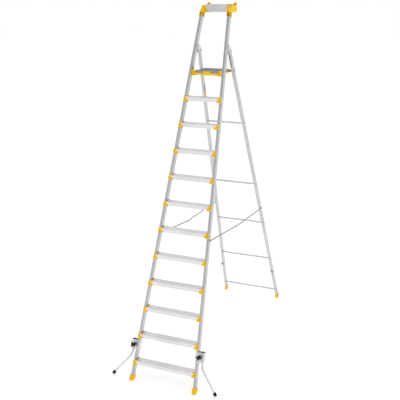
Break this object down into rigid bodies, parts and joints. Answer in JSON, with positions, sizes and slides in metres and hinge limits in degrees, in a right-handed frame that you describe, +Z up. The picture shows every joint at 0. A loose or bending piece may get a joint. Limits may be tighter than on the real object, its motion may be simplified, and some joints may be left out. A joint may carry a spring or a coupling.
{
  "type": "aluminium platform step ladder",
  "caption": "Folding aluminium step ladder with a yellow platform, tool tray, rungged rear frame and swivelling stabiliser legs.",
  "frame": {"origin": "centre of the footprint of the four feet, on the floor", "axes": "+X to the ladder's right as seen by a person facing the treads, +Y to the rear frame, +Z up"},
  "size_m": [1.0694, 2.4375, 3.381],
  "materials": {
    "plain_aluminium": "plain mill-finish extrusion, lightly brushed along its length",
    "ribbed_aluminium": "plain extrusion with fine anti-slip ribs",
    "yellow_plastic": "satin moulded yellow plastic",
    "grey_plastic": "ribbed mid-grey plastic",
    "black_plastic": "satin moulded black plastic",
    "zinc_steel": "bright zinc-plated steel"
  },
  "bodies": {
    "front_frame": {"stile_left": "plain_aluminium", "front_foot_left": "yellow_plastic", "hinge_bracket_left": "plain_aluminium", "clamp_left": "plain_aluminium", "clamp_insert_left": "black_plastic", "stile_right": "plain_aluminium", "front_foot_right": "yellow_plastic", "hinge_bracket_right": "plain_aluminium", "clamp_right": "plain_aluminium", "clamp_insert_right": "black_plastic", "step_01": "ribbed_aluminium", "step_02": "ribbed_aluminium", "step_03": "ribbed_aluminium", "step_04": "ribbed_aluminium", "step_05": "ribbed_aluminium", "step_06": "ribbed_aluminium", "step_07": "ribbed_aluminium", "step_08": "ribbed_aluminium", "step_09": "ribbed_aluminium", "step_10": "ribbed_aluminium", "step_11": "ribbed_aluminium", "hinge_pin_left": "zinc_steel", "platform_rest_left": "yellow_plastic", "tray_cap_left": "yellow_plastic", "hinge_pin_right": "zinc_steel", "platform_rest_right": "yellow_plastic", "tray_cap_right": "yellow_plastic", "tool_tray": "ribbed_aluminium"},
    "rear_frame": {"rear_leg_left": "plain_aluminium", "rear_foot_left": "yellow_plastic", "transport_hook_left": "zinc_steel", "rear_leg_right": "plain_aluminium", "rear_foot_right": "yellow_plastic", "transport_hook_right": "zinc_steel", "rear_rung_1": "plain_aluminium", "rear_rung_2": "plain_aluminium", "rear_rung_3": "plain_aluminium", "rear_rung_4": "plain_aluminium", "rear_rung_5": "plain_aluminium"},
    "platform": {"platform_frame": "yellow_plastic", "platform_deck": "grey_plastic", "platform_rod": "zinc_steel"},
    "stay_front_left": {"stay_front_left": "plain_aluminium"},
    "stay_rear_left": {"stay_rear_left": "plain_aluminium"},
    "stay_front_right": {"stay_front_right": "plain_aluminium"},
    "stay_rear_right": {"stay_rear_right": "plain_aluminium"},
    "leg_swivel_left": {"leg_bush_left": "black_plastic"},
    "stabiliser_left": {"stabiliser_leg_left": "plain_aluminium", "stabiliser_foot_left": "black_plastic", "stabiliser_cap_left": "black_plastic"},
    "knob_left": {"knob_left": "black_plastic"},
    "leg_swivel_right": {"leg_bush_right": "black_plastic"},
    "stabiliser_right": {"stabiliser_leg_right": "plain_aluminium", "stabiliser_foot_right": "black_plastic", "stabiliser_cap_right": "black_plastic"},
    "knob_right": {"knob_right": "black_plastic"}
  },
  "joints": [
    {"name": "rear_frame_fold", "type": "hinge", "parent": "front_frame", "child": "rear_frame", "pos_m": [0, -0.00157, 2.936], "axis": [-1, 0, 0], "range_deg": [0, 42.53]},
    {"name": "platform_fold", "type": "hinge", "parent": "rear_frame", "child": "platform", "pos_m": [0, 0.0749, 2.749], "axis": [-1, 0, 0], "range_deg": [0, 67.78]},
    {"name": "stay_front_left_fold", "type": "hinge", "parent": "front_frame", "child": "stay_front_left", "pos_m": [-0.24757, -0.71164, 1.28933], "axis": [0.9987, -0.0179, -0.0484], "range_deg": [0, 70.67]},
    {"name": "stay_rear_left_fold", "type": "hinge", "parent": "rear_frame", "child": "stay_rear_left", "pos_m": [-0.25197, 0.69726, 1.227], "axis": [-0.9986, -0.0198, 0.0485], "range_deg": [0, 63.68]},
    {"name": "stay_front_right_fold", "type": "hinge", "parent": "front_frame", "child": "stay_front_right", "pos_m": [0.24757, -0.71164, 1.28933], "axis": [0.9987, 0.0179, 0.0484], "range_deg": [0, 70.67]},
    {"name": "stay_rear_right_fold", "type": "hinge", "parent": "rear_frame", "child": "stay_rear_right", "pos_m": [0.25197, 0.69726, 1.227], "axis": [-0.9986, 0.0198, -0.0485], "range_deg": [0, 63.68]},
    {"name": "leg_swivel_left", "type": "hinge", "parent": "front_frame", "child": "leg_swivel_left", "pos_m": [-0.35167, -1.07462, 0.30754], "axis": [0.0515, 0.3463, 0.9367], "range_deg": [0, 90]},
    {"name": "leg_slide_left", "type": "slide", "parent": "leg_swivel_left", "child": "stabiliser_left", "axis": [0.0515, 0.3463, 0.9367], "range_m": [0, 0.02]},
    {"name": "knob_turn_left", "type": "hinge", "parent": "front_frame", "child": "knob_left", "pos_m": [-0.33165, -1.07468, 0.3074], "axis": [0, -0.9379, 0.3468], "range_deg": [0, 360]},
    {"name": "leg_swivel_right", "type": "hinge", "parent": "front_frame", "child": "leg_swivel_right", "pos_m": [0.35167, -1.07462, 0.30754], "axis": [0.0515, -0.3463, -0.9367], "range_deg": [0, 90]},
    {"name": "leg_slide_right", "type": "slide", "parent": "leg_swivel_right", "child": "stabiliser_right", "axis": [-0.0515, 0.3463, 0.9367], "range_m": [0, 0.02]},
    {"name": "knob_turn_right", "type": "hinge", "parent": "front_frame", "child": "knob_right", "pos_m": [0.33165, -1.07468, 0.3074], "axis": [0, -0.9379, 0.3468], "range_deg": [0, 360]}
  ],
  "couplings": [
    {"joint": "platform_fold", "follows": "rear_frame_fold", "ratio": 1.5932},
    {"joint": "stay_front_left_fold", "follows": "rear_frame_fold", "ratio": 1.661},
    {"joint": "stay_rear_left_fold", "follows": "rear_frame_fold", "ratio": 1.4967},
    {"joint": "stay_front_right_fold", "follows": "rear_frame_fold", "ratio": 1.661},
    {"joint": "stay_rear_right_fold", "follows": "rear_frame_fold", "ratio": 1.4967}
  ]
}
